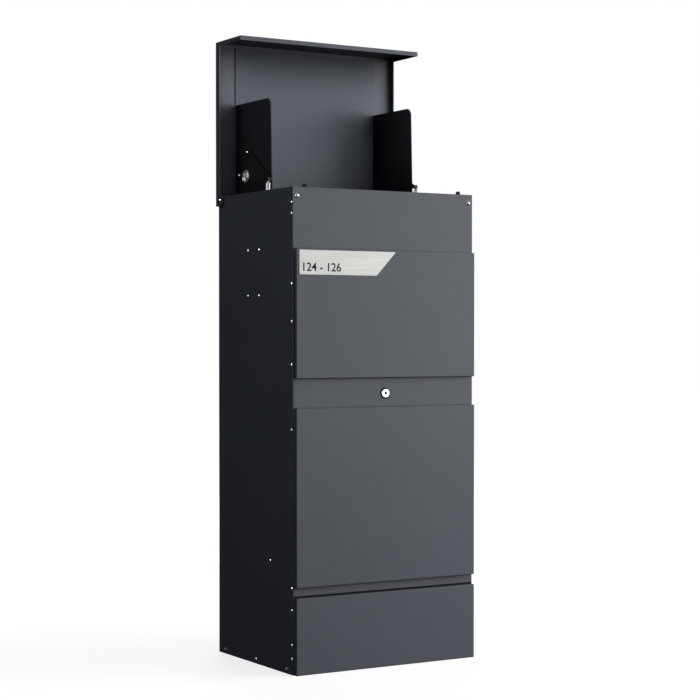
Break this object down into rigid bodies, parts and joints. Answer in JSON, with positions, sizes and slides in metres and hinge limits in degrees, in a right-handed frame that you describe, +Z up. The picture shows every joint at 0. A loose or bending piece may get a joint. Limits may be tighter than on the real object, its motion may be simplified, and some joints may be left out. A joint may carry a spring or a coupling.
{
  "type": "parcel and letter mailbox",
  "caption": "Free-standing steel parcel box: hinged lid with guards and tray, top-hung letter flap with name plate, bottom-hung lockable door, raised plinth.",
  "frame": {"origin": "on the floor, in the middle of the footprint of the box with its lid open", "axes": "+X to the right seen from the front, +Y to the rear, +Z up; the door faces -Y"},
  "size_m": [0.4582, 0.3532, 1.3384],
  "materials": {
    "coat": "fine-textured anthracite powder coat, matt",
    "dark_coat": "black powder coat, satin",
    "zinc": "zinc-plated, satin",
    "bright": "bare bright rivet aluminium",
    "chrome": "nickel-plated, polished",
    "brushed": "brushed stainless steel, horizontal grain",
    "rubber": "black moulded rubber"
  },
  "bodies": {
    "cabinet": {"side_panel_left": "coat", "side_panel_right": "coat", "rear_panel": "coat", "base_plate": "coat", "sill_panel": "coat", "plinth_panel": "coat", "front_panel": "coat", "flap_lugs": "zinc", "front_screws": "bright", "rim_buffers": "rubber", "side_rivets_left": "bright", "side_rivets_right": "bright", "base_fixings_left": "zinc", "base_fixings_right": "zinc", "door_stop_left": "zinc", "door_stop_right": "zinc", "door_pivot_pins": "bright", "lid_pin_left": "chrome", "lid_pin_right": "chrome", "damper_bracket_left": "zinc", "damper_bracket_right": "zinc", "damper_tube_left": "dark_coat", "damper_tube_right": "dark_coat"},
    "lid": {"lid_shell": "coat", "lid_liner": "coat", "parcel_tray": "dark_coat", "guard_left": "dark_coat", "guard_right": "dark_coat", "link_stud_left": "chrome", "link_stud_right": "chrome", "stop_washer_left": "chrome", "stop_washer_right": "chrome", "stop_bolt_left": "chrome", "stop_bolt_right": "chrome"},
    "flap": {"flap_panel": "coat", "flap_rod": "zinc", "name_plate": "brushed"},
    "door": {"door_plate": "coat", "door_panel": "coat", "lock_housing": "chrome", "lock_nut": "zinc"},
    "lock": {"lock_plug": "chrome", "lock_cam": "zinc", "cam_screw": "zinc"},
    "damper_left": {"damper_rod_left": "chrome", "rod_end_left": "dark_coat"},
    "link_left": {"lid_link_left": "dark_coat"},
    "damper_right": {"damper_rod_right": "chrome", "rod_end_right": "dark_coat"},
    "link_right": {"lid_link_right": "dark_coat"}
  },
  "joints": [
    {"name": "lid_hinge", "type": "hinge", "parent": "cabinet", "child": "lid", "pos_m": [0, 0.1591, 0.992], "axis": [1, 0, 0], "range_deg": [0, 90]},
    {"name": "flap_hinge", "type": "hinge", "parent": "cabinet", "child": "flap", "pos_m": [0, -0.1689, 0.8705], "axis": [-1, 0, 0], "range_deg": [0, 70]},
    {"name": "door_hinge", "type": "hinge", "parent": "cabinet", "child": "door", "pos_m": [0, -0.1579, 0.1773], "axis": [1, 0, 0], "range_deg": [0, 90]},
    {"name": "lock_turn", "type": "hinge", "parent": "door", "child": "lock", "pos_m": [0, -0.1479, 0.575], "axis": [0, -1, 0], "range_deg": [0, 90]},
    {"name": "damper_slide_left", "type": "slide", "parent": "cabinet", "child": "damper_left", "axis": [0, 0, 1], "range_m": [-0.1978, 0]},
    {"name": "link_pivot_left", "type": "hinge", "parent": "lid", "child": "link_left", "pos_m": [-0.1807, 0.1026, 1.094], "axis": [1, 0, 0], "range_deg": [-60.22, 0]},
    {"name": "damper_slide_right", "type": "slide", "parent": "cabinet", "child": "damper_right", "axis": [0, 0, 1], "range_m": [-0.1978, 0]},
    {"name": "link_pivot_right", "type": "hinge", "parent": "lid", "child": "link_right", "pos_m": [0.1807, 0.1026, 1.094], "axis": [1, 0, 0], "range_deg": [-60.22, 0]}
  ],
  "couplings": [
    {"joint": "damper_slide_left", "follows": "lid_hinge", "m_per_rad": -0.1257},
    {"joint": "link_pivot_left", "follows": "lid_hinge", "ratio": -0.66694},
    {"joint": "damper_slide_right", "follows": "lid_hinge", "m_per_rad": -0.1257},
    {"joint": "link_pivot_right", "follows": "lid_hinge", "ratio": -0.66694}
  ]
}
